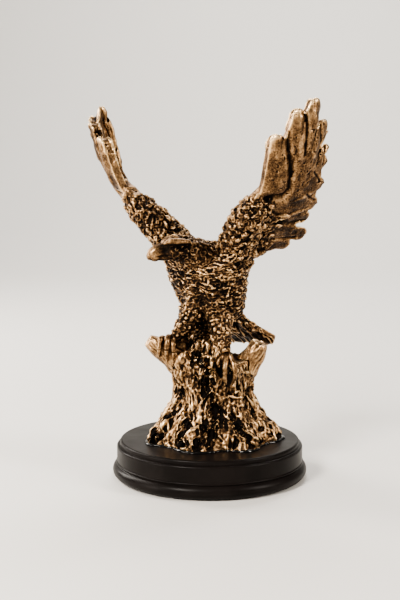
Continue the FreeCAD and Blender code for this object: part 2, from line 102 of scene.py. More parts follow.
# The rear edge of the bird's right wing, which stands a little towards the bird's middle.
RIGHT_WING_REAR = (
    (40.5, -69.0, 246.4),
    (42.0, -67.4, 243.0),
    (45.5, -64.4, 232.9),
    (48.0, -61.3, 221.3),
    (49.5, -58.6, 207.6),
    (49.0, -55.6, 198.6),
    (46.0, -52.0, 191.7),
)
RIGHT_WING_REAR_RADII = (1.6, 2.4, 2.6, 2.6, 2.6, 2.6, 2.0)
RIGHT_WING_HOLLOW = (20.8, -71.2, 229.1)
BETWEEN_FEATHERS = -1.3  # level of the gaps between long feathers, in units of their swelling
COVERT_TOP = 176.0  # height up to which short feathers cover the roots of the long ones
# One breast muscle, given for the bird's left side and mirrored for the right.
BREAST_MUSCLE = ((9.0, -14.0, 139.0), (18.0, -12.0, 145.0), (27.0, -9.5, 154.0))
BREAST_RADII = (8.0, 8.5, 6.5)
THIGHS = (
    (((1.0, -13.0, 119.0), (4.5, -14.0, 111.0), (7.0, -14.5, 105.5)), (8.5, 7.5, 5.5)),
    (((-8.0, -8.0, 118.0), (-11.5, -9.0, 111.0), (-14.5, -9.0, 105.0)), (8.0, 7.5, 5.5)),
)
CROTCH = (-4.5, -3.0, 104.0)
# Deep places darkened with painted shade: centre and reach.
PAINTED_SHADE_PLACES = (
    ((-5.0, -11.0, 102.0), 6.0),
    ((-13.0, -12.0, 91.0), 7.0),
    ((-1.0, -25.0, 82.0), 6.0),
    ((17.0, 6.0, 101.0), 6.0),
    ((12.0, -23.0, 75.0), 6.0),
    ((-18.0, -30.0, 155.2), 3.2),
    ((3.0, -27.0, 48.0), 5.0),
    ((-8.0, -34.0, 29.0), 5.5),
)
TAIL_FEATHER_COUNT = 7
TAIL_ROOT, TAIL_DROP = (0.0, 11.0, 109.0), 34.0

# Toes of the foot on the stump's rim and of the foot that grips the branch: path and radii.
LEFT_TOES = (
    (
        ((7.6, -25.5, 84.5), (5.8, -27.5, 83.0), (4.8, -27.5, 80.5), (4.6, -26.0, 78.0)),
        (1.6, 1.4, 1.0, 0.5),
    ),
    (
        ((10.4, -28.0, 85.5), (9.6, -32.5, 80.5), (9.4, -32.5, 74.5), (10.2, -30.0, 67.5)),
        (1.7, 1.7, 1.5, 0.7),
    ),
    (
        ((13.0, -27.5, 86.0), (15.8, -32.0, 79.5), (16.0, -32.0, 73.0), (13.9, -29.0, 66.5)),
        (1.6, 1.7, 1.6, 0.7),
    ),
    (
        ((10.5, -21.0, 84.0), (11.0, -16.0, 84.5), (11.5, -12.0, 83.0), (11.5, -9.5, 80.0)),
        (2.0, 1.9, 1.5, 0.6),
    ),
)
RIGHT_TOES = (
    (
        ((-30.5, -7.0, 94.0), (-32.5, -11.5, 94.0), (-33.5, -14.0, 88.0), (-33.0, -12.0, 81.5)),
        (2.1, 1.9, 1.6, 0.6),
    ),
    (
        ((-27.0, -8.0, 95.0), (-28.0, -13.5, 94.0), (-28.5, -15.5, 87.0), (-28.0, -13.0, 79.0)),
        (2.2, 2.0, 1.7, 0.6),
    ),
    (
        ((-24.0, -8.0, 93.5), (-24.0, -13.0, 91.5), (-23.8, -14.5, 85.0), (-23.5, -12.5, 78.0)),
        (2.0, 1.9, 1.6, 0.6),
    ),
    (
        ((-26.0, -3.0, 92.0), (-25.5, 3.0, 91.5), (-26.0, 5.5, 87.0), (-26.5, 4.5, 82.0)),
        (2.0, 1.9, 1.5, 0.6),
    ),
)
LEFT_HEEL, RIGHT_HEEL = (10.2, -24.0, 83.6), (-26.4, -5.6, 91.5)
STUMP_AXIS = (2.0, -1.5)
STUMP_HOLLOW = 18.0  # the hollow inside lies within this distance of the axis
BARK_RIDGES, ROOTS, ROOT_LOBES = 170, 15, 11
GOLDEN_TURN = 0.618034  # share of a turn from one ridge to the next, which spaces them evenly
BEYOND_STUMP = 90.0  # a distance from the stump's axis that is outside all of it
# A root at successive places down the stump: height, how far it stands out, and radius.
ROOT_STATIONS = (
    (58.0, -2.6, 0.8),
    (50.0, -2.4, 2.0),
    (43.0, -2.2, 2.8),
    (37.0, -2.0, 3.2),
    (32.0, -1.6, 3.3),
    (28.6, -0.8, 3.0),
    (26.6, 0.2, 2.2),
    (25.9, 1.0, 0.9),
)
TWIGS = (
    (((-8.0, -25.5, 52.0), (-3.0, -27.5, 58.5), (1.5, -27.5, 64.5)), 1.3),
    (((0.0, -27.5, 63.5), (6.0, -27.5, 59.5), (12.0, -26.5, 58.0)), 1.2),
    (((11.0, -26.0, 60.0), (16.0, -24.5, 57.5), (22.0, -21.0, 57.5)), 1.2),
    (((-14.0, -22.0, 66.0), (-9.5, -25.0, 60.0), (-8.5, -26.0, 53.0)), 1.4),
)
# The oval burr under the branch: centre, radii and their directions.
KNOT = ((-18.5, -17.5, 80.5), (7.0, 4.0, 4.0))
KNOT_AXES = ((0.5, 0.0, 0.85), (0.0, 1.0, 0.0), (0.85, 0.0, -0.5))
ROOT_MASSES = (
    ((20.0, -6.0, 37.0), (10.0, 10.0, 8.5)),
    ((-20.0, -6.0, 34.0), (10.0, 11.0, 9.0)),
    ((-19.0, 0.0, 88.0), (7.0, 6.0, 6.5)),
    ((8.0, -24.0, 34.0), (9.0, 9.0, 8.0)),
    ((-10.0, 22.0, 35.0), (12.0, 10.0, 9.0)),
    ((20.0, 18.0, 34.0), (10.0, 10.0, 8.0)),
    ((22.2, -12.2, 75.8), (3.6, 3.6, 4.4)),
    ((25.0, -5.0, 59.4), (3.4, 4.0, 4.4)),
)
# Rotten hollows between the roots and in the trunk: place, size each way, and depth.
HOLLOWS = (
    ((-8.0, -34.0, 29.0), (2.4, 9.0, 6.0), 4.5),
    ((-4.0, -30.0, 39.0), (2.2, 8.0, 6.0), 3.5),
    ((3.0, -27.0, 49.0), (3.6, 7.0, 3.6), 4.5),
    ((-2.5, -26.0, 68.0), (2.4, 7.0, 5.0), 3.0),
    ((0.0, -24.0, 76.0), (4.0, 8.0, 7.0), 5.0),
    ((-10.0, -20.0, 83.0), (5.0, 9.0, 4.0), 3.0),
    ((14.0, -28.0, 46.0), (3.0, 7.0, 3.0), 3.5),
    ((-18.0, -22.0, 58.0), (2.5, 7.0, 5.0), 2.5),
    ((10.0, 26.0, 50.0), (4.0, 8.0, 7.0), 4.0),
    ((-20.0, 20.0, 52.0), (4.0, 7.0, 6.0), 3.5),
    ((30.0, 6.0, 52.0), (7.0, 4.0, 6.0), 3.0),
    ((12.6, -28.0, 75.0), (2.6, 6.0, 8.0), 2.6),
    ((6.8, -27.5, 75.0), (1.8, 6.0, 7.0), 2.4),
)

HEAD_CENTRE = np.array((-24.0, -24.5, 154.6))
HEAD_FORWARD = np.array((-0.968, -0.25, 0.0))
HEAD_SIDE = np.array((0.25, -0.968, 0.0))  # out of the bird's left cheek, towards the camera
UP = np.array((0.0, 0.0, 1.0))
# Paths on the head, as steps forward, to the side and up. The brow is mirrored for the other side.
BROW = ((-14.0, 6.0, 3.2), (-8.0, 7.0, 4.6), (-2.0, 7.2, 5.2), (3.0, 6.0, 5.0), (6.4, 4.0, 3.4))
UPPER_BEAK = (
    (4.0, 0.0, -0.4),
    (8.0, 0.0, -1.0),
    (11.2, 0.0, -2.0),
    (13.2, 0.0, -3.4),
    (14.0, 0.0, -5.2),
)
LOWER_BEAK = ((3.0, 0.0, -4.0), (8.0, 0.0, -4.2), (11.6, 0.0, -4.8))
# Hollows at the side of the head: place, size each way, and depth.
EYE_HOLLOW = ((-4.0, 7.4, 0.9), (6.4, 3.4, 1.7), 3.4)
CHEEK_HOLLOW = ((5.5, 5.0, -1.2), (3.6, 2.4, 2.2), 1.3)
BEDDING_LUMP = (41.0, -6.0)  # where a larger lump of the black compound was squeezed out
BEDDING_DROPS = 26

# The patina: scale and share of its broad patches, share of its fine specks, and the amount taken
# off the sum so that level metal lies in the middle of the colours.
PATCH_SCALE, PATCH_SHARE = 110.0, 0.36
SPECK_SHARE = 0.50
PATINA_OFFSET = 0.43

CAMERA_PLACE = (-0.00646, -0.7744, 0.2217)
CAMERA_PITCH = 7.607  # degrees below level
CAMERA_LENS = 70.8


# ---- small tools ----
def unit(vectors):
    vectors = np.asarray(vectors, float)
    length = np.linalg.norm(vectors, axis=-1, keepdims=True)
    return vectors / np.maximum(length, 1e-9)


def smoothstep(value, low, high):
    share = np.clip((value - low) / (high - low), 0.0, 1.0)
    return share * share * (3.0 - 2.0 * share)


def lattice(cells, seed):
    """A repeatable number from -1 to 1 for each integer cell."""
    mixed = cells[:, 0] * 73856093 ^ cells[:, 1] * 19349663 ^ cells[:, 2] * 83492791 ^ seed * 2654435
    mixed = (mixed ^ (mixed >> 13)) * 1274126177 & 0x7FFFFFFF
    mixed = (mixed ^ (mixed >> 11)) * 668265263 & 0x7FFFFFFF
    return (mixed & 0xFFFF) / 32767.5 - 1.0


def noise(points, size, seed=1):
    """Smooth noise from -1 to 1, with features about size across. size may be one value per axis."""
    scaled = points / np.asarray(size, float)
    cells = np.floor(scaled).astype(np.int64)
    inside = scaled - cells
    inside = inside * inside * (3.0 - 2.0 * inside)
    total = np.zeros(len(points))
    for corner in range(8):
        step = np.array((corner & 1, corner >> 1 & 1, corner >> 2 & 1))
        weight = np.prod(np.where(step, inside, 1.0 - inside), axis=1)
        total += weight * lattice(cells + step, seed)
    return total


def crests(points, size, seed):
    """Noise with sharp crest lines, from 0 in the valleys to 1 on the crests."""
    return (1.0 - np.abs(noise(points, size, seed))) ** 2


def crumpled(points, size, amount, seed):
    """Points shifted by smooth noise, so that repeated shapes become irregular."""
    shift = np.stack([noise(points, size, seed + i) for i in range(3)], axis=1)
    return points + amount * shift


def rotation(axis, degrees):
    """The matrix of a turn about axis 0, 1 or 2."""
    c, s = math.cos(math.radians(degrees)), math.sin(math.radians(degrees))
    second, third = (axis + 1) % 3, (axis + 2) % 3
    matrix = np.eye(3)
    matrix[second, second] = matrix[third, third] = c
    matrix[second, third] = -s
    matrix[third, second] = s
    return matrix


def blob(points, place, size):
    """1 at place, falling off to 0 beyond size, which may be one value per axis."""
    return np.exp(-np.sum(((points - np.array(place)) / size) ** 2, axis=1))


def heading(direction):
    """A flow that has the same direction everywhere."""

    def flow(places):
        return np.tile(direction, (len(places), 1))

    return flow


# ---- meshes as (vertices, triangles) ----
def read(items, name, width, kind=float):
    """A value of a mesh's items, as an array with one row for each."""
    values = np.empty(len(items) * width, kind)
    items.foreach_get(name, values)
    return values.reshape(-1, width)


def node_mesh(name):
    """A CAD node's vertices in millimetres, and its triangles."""
    mesh = NODES[name].data
    mesh.calc_loop_triangles()
    points = read(mesh.vertices, "co", 3) * 1000.0
    return points, read(mesh.loop_triangles, "vertices", 3, np.int32)


def joined(parts):
    """Several meshes as one."""
    points, triangles, start = [], [], 0
    for part_points, part_triangles in parts:
        points.append(part_points)
        triangles.append(part_triangles + start)
        start += len(part_points)
    return np.concatenate(points), np.concatenate(triangles)


def ring_surface(ring_count, ring_size):
    """Triangles of a closed tube of rings with both ends capped by a fan from the first corner."""
    triangles = []
    for i in range(ring_count - 1):
        for j in range(ring_size):
            a, b = i * ring_size + j, i * ring_size + (j + 1) % ring_size
            triangles.append((a, b, b + ring_size))
            triangles.append((a, b + ring_size, a + ring_size))
    last = (ring_count - 1) * ring_size
    for j in range(1, ring_size - 1):
        triangles.append((0, j + 1, j))
        triangles.append((last, last + j, last + j + 1))
    return np.array(triangles)


def tube(path, radii, flat=1.0, normal=None, sides=8):
    """A closed tube along path. flat squeezes it across normal, which defaults to up."""
    path = np.asarray(path, float)
    along = unit(np.gradient(path, axis=0))
    normal = np.asarray((0.0, 0.0, 1.0) if normal is None else normal, float)
    across = np.cross(along, normal)
    weak = np.linalg.norm(across, axis=1) < 1e-3
    across[weak] = np.cross(along[weak], (1.0, 0.3, 0.0))
    across = unit(across)
    out = np.cross(across, along)
    turn = np.arange(sides) * 2.0 * math.pi / sides
    rings = (
        path[:, None, :]
        + across[:, None, :] * (np.cos(turn)[None, :, None] * np.asarray(radii)[:, None, None])
        + out[:, None, :] * (np.sin(turn)[None, :, None] * np.asarray(radii)[:, None, None] * flat)
    )
    return rings.reshape(-1, 3), ring_surface(len(path), sides)


def ball(centre, radii, sides, rows, axes=np.eye(3)):
    """An ellipsoid. axes are three directions, one per radius."""
    steps = np.linspace(0.03, math.pi - 0.03, rows)
    turn = np.arange(sides) * 2.0 * math.pi / sides
    local = np.stack(
        (
            np.sin(steps)[:, None] * np.cos(turn)[None, :],
            np.sin(steps)[:, None] * np.sin(turn)[None, :],
            -np.cos(steps)[:, None] * np.ones(sides)[None, :],
        ),
        axis=-1,
    ).reshape(-1, 3)
    points = np.asarray(centre) + (local * np.asarray(radii)) @ np.asarray(axes, float)
    return points, ring_surface(rows, sides)


def feather_template():
    """A small feather lying along +Y: dished in the middle, with a raised rim and a lifted tip."""
    stations = (0.0, 0.2, 0.45, 0.7, 0.87, 0.96, 1.0)
    widths = (0.45, 0.78, 1.0, 0.95, 0.72, 0.42, 0.15)
    spots = ((-1.0, -0.5), (-0.8, 0.42), (-0.42, 0.1), (0.0, 0.22), (0.42, 0.1), (0.8, 0.42), (1.0, -0.5))
    points = []
    for along, width in zip(stations, widths):
        lift = -0.5 + 1.5 * along**1.2
        rim = 0.25 * max(0.0, along - 0.75) * 4.0
        for across, height in spots:
            points.append((across * width, along, lift + height + rim * (1.0 - abs(across))))
        points.append((0.6 * width, along, -1.6))
        points.append((-0.6 * width, along, -1.6))
    return np.array(points), ring_surface(len(stations), len(spots) + 2)


def knob_template():
    """A rounded knob a little in front of its place, like a small feather cast without detail."""
    return ball((0.0, 0.4, 0.1), (1.0, 1.0, 1.0), 9, 7)


def chip_template():
    """An angular chip, like a chiselled feather on the arm of the wing."""
    return ball((0.0, 0.4, 0.1), (1.15, 1.15, 1.15), 5, 4)


def placed(template, places, normals, directions, sizes):
    """Copies of a template: its X goes across, Y along the direction and Z along the normal."""
    points, triangles = template
    across = np.cross(directions, normals)
    local = points[None, :, :] * sizes[:, None, :]
    copies = (
        places[:, None, :]
        + local[..., 0:1] * across[:, None, :]
        + local[..., 1:2] * directions[:, None, :]
        + local[..., 2:3] * normals[:, None, :]
    )
    shifts = np.arange(len(places))[:, None, None] * len(points)
    return copies.reshape(-1, 3), (triangles[None] + shifts).reshape(-1, 3)


def scattered(mesh, spacing, keep, seed):
    """Places on a mesh's surface about spacing apart, and the normals there."""
    points, triangles = mesh
    random = np.random.default_rng(seed)
    a, b, c = (points[triangles[:, i]] for i in range(3))
    cross = np.cross(b - a, c - a)
    area = np.linalg.norm(cross, axis=1) / 2.0
    count = int(area.sum() / spacing**2 * 7.0)
    chosen = random.choice(len(area), count, p=area / area.sum())
    u, v = random.random(count), random.random(count)
    flip = u + v > 1.0
    u[flip], v[flip] = 1.0 - u[flip], 1.0 - v[flip]
    places = a[chosen] + (b - a)[chosen] * u[:, None] + (c - a)[chosen] * v[:, None]
    normals = unit(cross[chosen])
    good = keep(places, normals)
    places, normals = places[good], normals[good]
    grid, kept = {}, []
    cells = np.floor(places / spacing).astype(int)
    for i, cell in enumerate(map(tuple, cells)):
        near = [
            j
            for x in (-1, 0, 1)
            for y in (-1, 0, 1)
            for z in (-1, 0, 1)
            for j in grid.get((cell[0] + x, cell[1] + y, cell[2] + z), ())
        ]
        if near and np.min(np.sum((places[near] - places[i]) ** 2, axis=1)) < spacing**2:
            continue
        grid.setdefault(cell, []).append(i)
        kept.append(i)
    return places[kept], normals[kept]


def plumage(mesh, spacing, size, flow, keep, seed, jitter=0.3, template=None, crumple=0.45):
    """Small shapes on the kept part of a mesh, laid along the flow. size is width, length, lift."""
    places, normals = scattered(mesh, spacing, keep, seed)
    random = np.random.default_rng(seed + 1)
    count = len(places)
    directions = flow(places) + random.normal(0.0, jitter, (count, 3))
    directions -= normals * np.sum(directions * normals, axis=1, keepdims=True)
    directions = unit(directions)
    tilt = unit(normals + random.normal(0.0, 0.4 * jitter, (count, 3)))
    tilt = unit(tilt - directions * np.sum(tilt * directions, axis=1, keepdims=True))
    sizes = np.tile(size, (count, 1)) * random.uniform(0.6, 1.4, (count, 3))
    sizes[:, 2] *= random.uniform(0.6, 1.4, count)
    places = places - directions * (size[1] * 0.4)
    points, triangles = placed(template or feather_template(), places, tilt, directions, sizes)
    return crumpled(points, 2.1, crumple, seed + 2), triangles


# ---- from shapes to a finished piece ----
def add_object(name, data):
    made = bpy.data.objects.new(name, data)
    bpy.context.scene.collection.objects.link(made)
    return made


def skin_of(parts, voxel):
    """One closed skin round all parts, as a Blender mesh in millimetres."""
    points, triangles = joined(parts)
    data = bpy.data.meshes.new("holder")
    data.from_pydata(points.tolist(), [], triangles.tolist())
    holder = add_object("holder", data)
    remesh = holder.modifiers.new("skin", "REMESH")
    remesh.mode = "VOXEL"
    remesh.voxel_size = voxel
    seen = holder.evaluated_get(bpy.context.evaluated_depsgraph_get())
    skin = bpy.data.meshes.new_from_object(seen)
    bpy.data.objects.remove(holder)
    bpy.data.meshes.remove(data)
    drop_crumbs(skin)
    return skin


def drop_crumbs(mesh):
    """Keeps only the largest connected surface, because thin tips can leave loose crumbs."""
    first, second = read(mesh.edges, "vertices", 2, np.int32).T
    label = np.arange(len(mesh.vertices))
    while True:
        lowest = np.minimum(label[first], label[second])
        following = label.copy()
        np.minimum.at(following, first, lowest)
        np.minimum.at(following, second, lowest)
        following = following[following]
        if np.array_equal(following, label):
            break
        label = following
    loose = np.flatnonzero(label != np.bincount(label).argmax())
    if len(loose) == 0:
        return
    work = bmesh.new()
    work.from_mesh(mesh)
    work.verts.ensure_lookup_table()
    bmesh.ops.delete(work, geom=[work.verts[i] for i in loose], context="VERTS")
    work.to_mesh(mesh)
    work.free()


def merged(parts, inset=0.0, rounds=6):
    """Several solids blended into one smooth body, drawn in by inset to leave room for feathers."""
    skin = Skin(parts, 0.9)
    skin.smooth(rounds)
    skin.push(np.full(len(skin.points), -inset))
    points, triangles = skin.points, skin.triangles
    bpy.data.meshes.remove(skin.mesh)
    return points, triangles


class Skin:
    """A remeshed piece while it is being worked on."""

    def __init__(self, parts, voxel):
        self.mesh = skin_of(parts, voxel)
        self.points = read(self.mesh.vertices, "co", 3)
        self.edges = read(self.mesh.edges, "vertices", 2, np.int32)
        self.mesh.calc_loop_triangles()
        self.triangles = read(self.mesh.loop_triangles, "vertices", 3, np.int32)
        counts = np.bincount(self.edges.ravel(), minlength=len(self.points))
        self.neighbours = np.maximum(counts, 1)

    def spread(self, values):
        """The mean of each vertex's neighbours."""
        first, second = self.edges[:, 0], self.edges[:, 1]
        count = len(self.points)
        columns = []
        for column in np.atleast_2d(values.T):
            total = np.bincount(first, column[second], count) + np.bincount(second, column[first], count)
            columns.append(total / self.neighbours)
        return np.array(columns).T.reshape(values.shape)

    def relaxed(self, rounds):
        """The vertices after so many rounds of smoothing."""
        points = self.points
        for _ in range(rounds):
            points = 0.5 * points + 0.5 * self.spread(points)
        return points

    def smooth(self, rounds):
        self.points = self.relaxed(rounds)

    def normals(self):
        a, b, c = (self.points[self.triangles[:, i]] for i in range(3))
        face = np.cross(b - a, c - a)
        total = np.zeros_like(self.points)
        for column in range(3):
            for corner in range(3):
                total[:, column] += np.bincount(
                    self.triangles[:, corner], face[:, column], len(self.points)
                )
        return unit(total)

    def push(self, amount):
        """Moves each vertex outwards by its amount."""
        self.points = self.points + self.normals() * amount[:, None]

    def relief(self, rounds, size):
        """How far each vertex stands above its surroundings: 0.5 is level, 1 is size above."""
        height = np.sum((self.points - self.relaxed(rounds)) * self.normals(), axis=1)
        return np.clip(0.5 + 0.5 * height / size, 0.0, 1.0)

    def finish(self, node, material, rubbed_and_painted_light=0.0):
        """Stores the relief, writes the mesh in metres and puts it in the place of its CAD node.

        The last argument is how much brighter than its relief each vertex is made: worn gold, and on the
        torso and the head also painted light and painted shade.
        """
        fine = max(2, round(5 / COARSE))
        broad = max(10, round(50 / COARSE**2))
        # Painted shade: surfaces that face downwards and the listed deep places are darkened.
        painted_shade = 0.20 * smoothstep(-self.normals()[:, 2], 0.15, 0.9)
        for place, reach in PAINTED_SHADE_PLACES:
            painted_shade += 0.38 * blob(self.points, place, reach)
        store(self.mesh, "fine_relief", self.relief(fine, 0.30 * COARSE))
        # The broad relief is stored with the painted shade taken off and the extra brightness added.
        store(self.mesh, "broad_relief_and_painted_light", self.relief(broad, 1.05) - painted_shade + rubbed_and_painted_light)
        self.mesh.vertices.foreach_set("co", (self.points * 0.001).ravel())
        self.mesh.update()
        self.mesh.name = node + "_cast"
        settle(add_object(node + "_cast", self.mesh), [node], material)


def store(mesh, name, values):
    """Puts one value on each vertex, for the material to read."""
    attribute = mesh.attributes.new(name, "FLOAT", "POINT")
    attribute.data.foreach_set("value", values.astype(np.float32))


def settle(made, replaced, material):
    """Gives a finished piece its material and its place in the frame."""
    made.data.materials.clear()
    made.data.materials.append(material)
    made.data.polygons.foreach_set("use_smooth", [True] * len(made.data.polygons))
    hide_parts(*replaced)
    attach(made, "root")


# ---- materials ----
def shader(name):
    """A new material, its nodes, its links and its surface shader."""
    material = bpy.data.materials.new(name)
    material.use_nodes = True
    nodes, links = material.node_tree.nodes, material.node_tree.links
    return material, nodes, links, nodes["Principled BSDF"]


def ramp(nodes, links, level, stops, socket):
    """Colours socket by level, through the colours at the stops."""
    made = nodes.new("ShaderNodeValToRGB")
    elements = made.color_ramp.elements
    while len(elements) < len(stops):
        elements.new(0.5)
    for element, (position, colour) in zip(elements, stops):
        element.position = position
        element.color = (*colour, 1.0)
    links.new(level, made.inputs["Fac"])
    links.new(made.outputs["Color"], socket)


def greys(stops):
    """Ramp stops of (position, grey)."""
    return [(position, (grey,) * 3) for position, grey in stops]


def noise_texture(nodes, links, place, scale, detail):
    made = nodes.new("ShaderNodeTexNoise")
    made.inputs["Scale"].default_value = scale
    made.inputs["Detail"].default_value = detail
    links.new(place.outputs["Object"], made.inputs["Vector"])
    return made


def roughen(nodes, links, texture, strength, depth, surface):
    """Fine bumps on the surface, in metres."""
    bump = nodes.new("ShaderNodeBump")
    bump.inputs["Strength"].default_value = strength
    bump.inputs["Distance"].default_value = depth
    links.new(texture.outputs["Fac"], bump.inputs["Height"])
    links.new(bump.outputs["Normal"], surface.inputs["Normal"])


def math_node(nodes, links, operation, first, second):
    made = nodes.new("ShaderNodeMath")
    made.operation = operation
    for socket, value in zip(made.inputs, (first, second)):
        if isinstance(value, (int, float)):
            socket.default_value = value
        else:
            links.new(value, socket)
    return made.outputs[0]


def antique_bronze(name, bright, relief_share, grain):
    """Near-black patina in the recesses, brown on the flats and gold worn bright on the high points. The
    stored relief that sets these colours also carries painted shade and painted light.
    """
    material, nodes, links, surface = shader(name)
    place = nodes.new("ShaderNodeTexCoord")
    patches = noise_texture(nodes, links, place, PATCH_SCALE, 3.0)
    specks = noise_texture(nodes, links, place, grain, 4.0)
    specks.inputs["Roughness"].default_value = 0.65
    reliefs = []
    for name in ("fine_relief", "broad_relief_and_painted_light"):
        reliefs.append(nodes.new("ShaderNodeAttribute"))
        reliefs[-1].attribute_name = name
    sources = (reliefs[0], reliefs[1], patches, specks)
    level = bright - PATINA_OFFSET
    shares = (1.0 - relief_share, relief_share, PATCH_SHARE, SPECK_SHARE)
    for source, share in zip(sources, shares):
        part = math_node(nodes, links, "MULTIPLY", source.outputs["Fac"], share)
        level = math_node(nodes, links, "ADD", part, level)
    colours = (
        (0.35, (0.0035, 0.0020, 0.0012)),
        (0.45, (0.013, 0.0070, 0.0036)),
        (0.53, (0.046, 0.0245, 0.0115)),
        (0.61, (0.130, 0.0730, 0.0350)),
        (0.70, (0.300, 0.1800, 0.0900)),
        (0.82, (0.560, 0.3580, 0.1820)),
        (1.00, (0.800, 0.5650, 0.3150)),
    )
    ramp(nodes, links, level, colours, surface.inputs["Base Color"])
    polish = greys(((0.34, 0.60), (0.55, 0.44), (0.80, 0.30)))
    ramp(nodes, links, level, polish, surface.inputs["Roughness"])
    metal = greys(((0.38, 0.0), (0.52, 0.7), (0.62, 1.0)))
    ramp(nodes, links, level, metal, surface.inputs["Metallic"])
    surface.inputs["Specular IOR Level"].default_value = 0.06
    roughen(nodes, links, specks, 0.5, 0.0004, surface)
    return material


def plain(name, colour, roughness, metallic, texture_scale, tone_change, bump_depth, specular=0.5):
    """An even finish whose tone and surface vary slightly."""
    material, nodes, links, surface = shader(name)
    place = nodes.new("ShaderNodeTexCoord")
    texture = noise_texture(nodes, links, place, texture_scale, 4.0)
    level = texture.outputs["Fac"]
    low = tuple(max(0.0, c * (1.0 - tone_change)) for c in colour)
    high = tuple(min(1.0, c * (1.0 + tone_change)) for c in colour)
    ramp(nodes, links, level, ((0.35, low), (0.65, high)), surface.inputs["Base Color"])
    shine = greys(((0.3, roughness * 0.85), (0.7, min(1.0, roughness * 1.15))))
    ramp(nodes, links, level, shine, surface.inputs["Roughness"])
    surface.inputs["Metallic"].default_value = metallic
    surface.inputs["Specular IOR Level"].default_value = specular
    roughen(nodes, links, texture, 0.3, bump_depth, surface)
    return material


FEATHER_BRONZE = antique_bronze("feather bronze", 0.03, 0.5, 900.0)
BARK_BRONZE = antique_bronze("bark bronze", 0.155, 0.55, 700.0)
PLINTH_BLACK = plain("plinth black", (0.0080, 0.0062, 0.0056), 0.36, 0.0, 60.0, 0.25, 0.0001, 0.08)
COMPOUND_BLACK = plain("compound black", (0.004, 0.004, 0.004), 0.12, 0.0, 200.0, 0.2, 0.0002)
FELT = plain("felt", (0.018, 0.020, 0.018), 0.95, 0.0, 2500.0, 0.5, 0.0003)
STEEL = plain("zinc steel", (0.52, 0.52, 0.53), 0.32, 1.0, 700.0, 0.08, 0.00003)
DOWEL_METAL = plain("bronze rod", (0.50, 0.31, 0.14), 0.30, 1.0, 700.0, 0.1, 0.00003)


# ---- frames of the wings and the tail ----
def wing_frame(side):
    """Functions that take points into the wing's own plane and back."""
    turn = rotation(2, WING_TURN)
    bird = rotation(2, BIRD_TURN)
    mirror = np.diag((side, 1.0, 1.0))
    roll = rotation(1, -RIGHT_WING_ROLL if side < 0 else 0.0)
    centre = np.array(RIGHT_ROLL_CENTRE)

    def inwards(points):
        points = points @ bird
        points = (points - centre) @ roll + centre
        return (points @ mirror) @ turn

    def outwards(points):
        points = (points @ turn.T) @ mirror
        points = (points - centre) @ roll.T + centre
        return points @ bird.T

    return inwards, outwards


def long_feathers(flat, feathers, swell):
    """Height of a fan of long feathers at flat (across, along) positions. swell is one per feather."""
    height = np.full(len(flat), BETWEEN_FEATHERS)
    for i, (root, tip, half_width) in enumerate(feathers):
        root, tip = np.array(root), np.array(tip)
        length = np.linalg.norm(tip - root)
        along = (tip - root) / length
        offset = flat - root
        t = offset @ along
        s = (offset @ np.array((along[1], -along[0]))) / half_width
        profile = swell[i] * (1.0 - np.abs(s) ** 2.4) - 0.35 * s
        end = smoothstep(t, length * 0.02, length * 0.2)
        end *= 1.0 - smoothstep(t, length - 1.5, length + 3.0)
        profile = profile * end + BETWEEN_FEATHERS * (1.0 - end)
        profile = np.where(np.abs(s) < 1.06, profile, BETWEEN_FEATHERS)
        height = np.maximum(height, profile - 0.03 * i)
    return height


def furrow(flat, path, width, depth):
    """Depth of a valley along a path. flat holds positions in the path's plane."""
    nearest = np.full(len(flat), 1e9)
    for start, end in zip(path[:-1], path[1:]):
        start, end = np.array(start), np.array(end)
        run = end - start
        share = np.clip((flat - start) @ run / (run @ run), 0.0, 1.0)
        gap = flat - start - share[:, None] * run
        nearest = np.minimum(nearest, np.sum(gap**2, axis=1))
    return depth * np.exp(-nearest / width**2)


